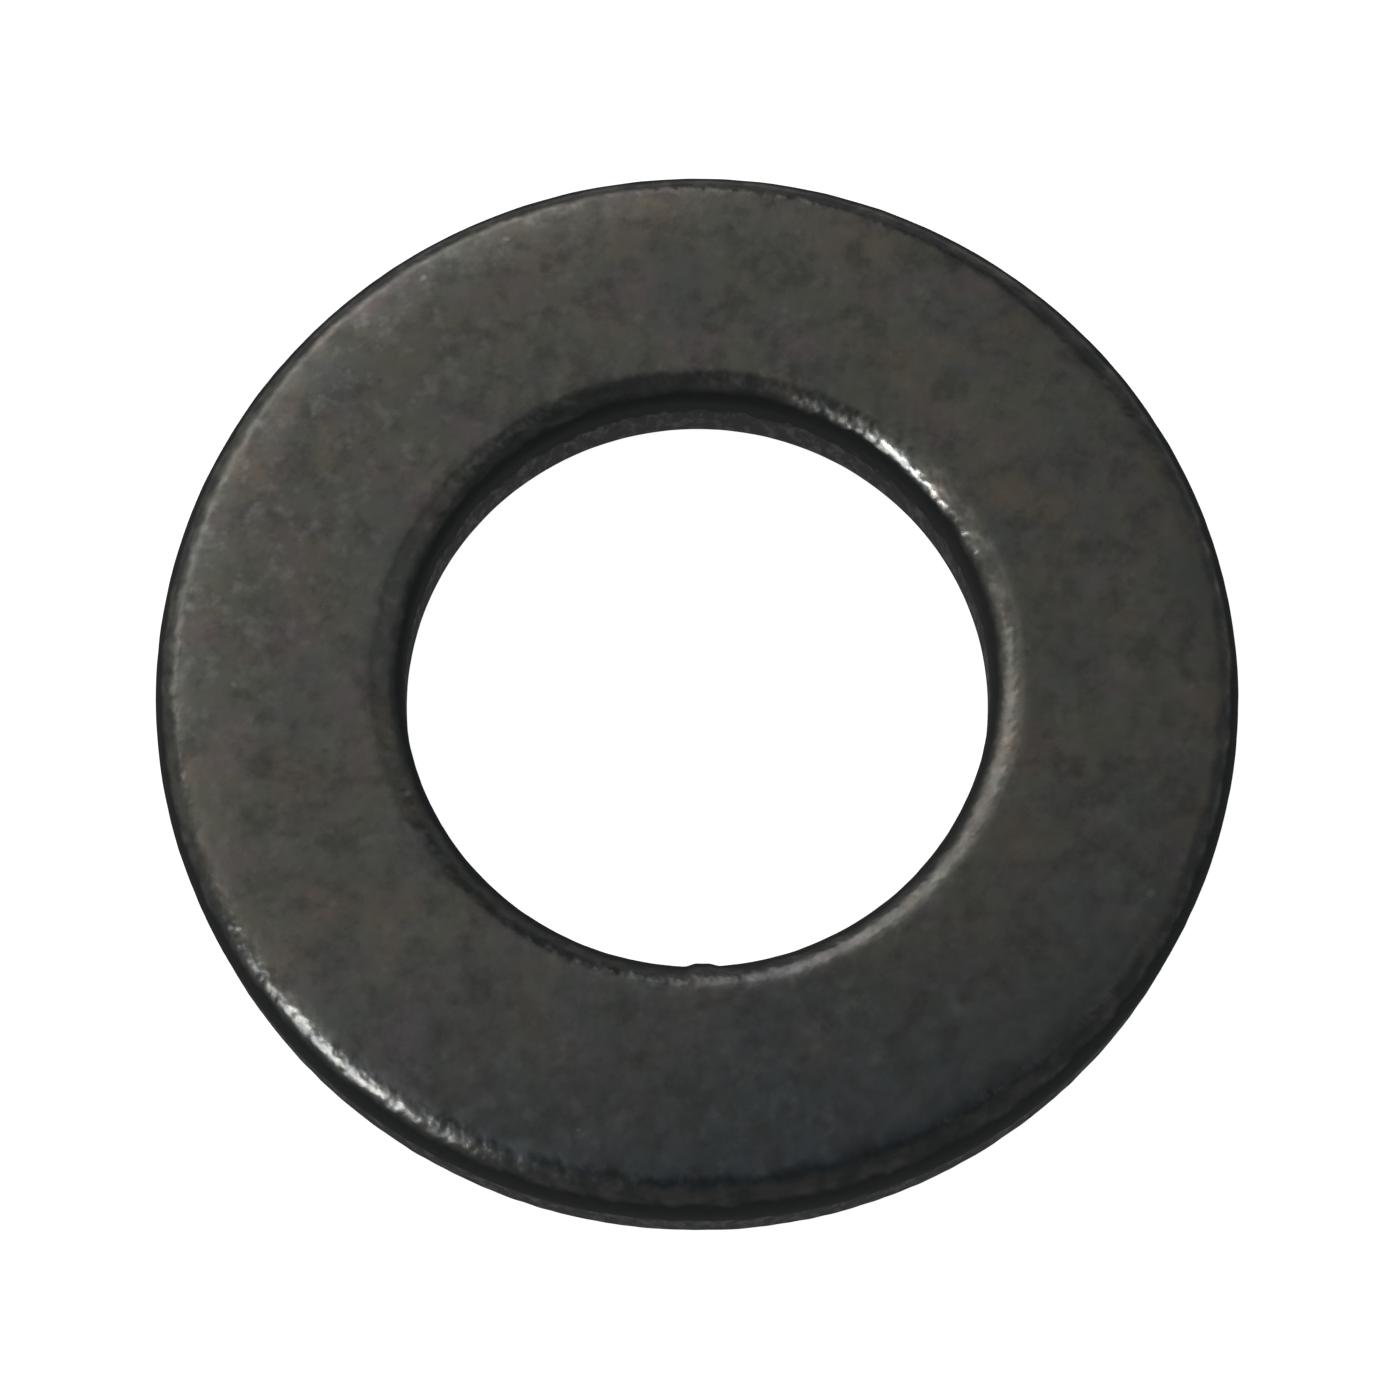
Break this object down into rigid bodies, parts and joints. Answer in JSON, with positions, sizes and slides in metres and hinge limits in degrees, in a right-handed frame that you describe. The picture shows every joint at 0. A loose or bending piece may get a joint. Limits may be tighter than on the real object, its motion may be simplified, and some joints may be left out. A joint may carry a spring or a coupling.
{
  "type": "flat washer",
  "caption": "Plain round flat washer in blackened steel, with a central clearance bore and softly rolled front edges.",
  "frame": {"origin": "centre of the bore on the back face, which is the face the washer lies on", "axes": "+Z along the bore's axis, from the back face to the front face whose edges are rolled over; X and Y lie in the back face, and any direction in it is like any other"},
  "size_m": [0.024, 0.024, 0.0025],
  "materials": {
    "blackened_steel": "satin"
  },
  "bodies": {
    "root": {"washer_ring": "blackened_steel"}
  },
  "joints": []
}
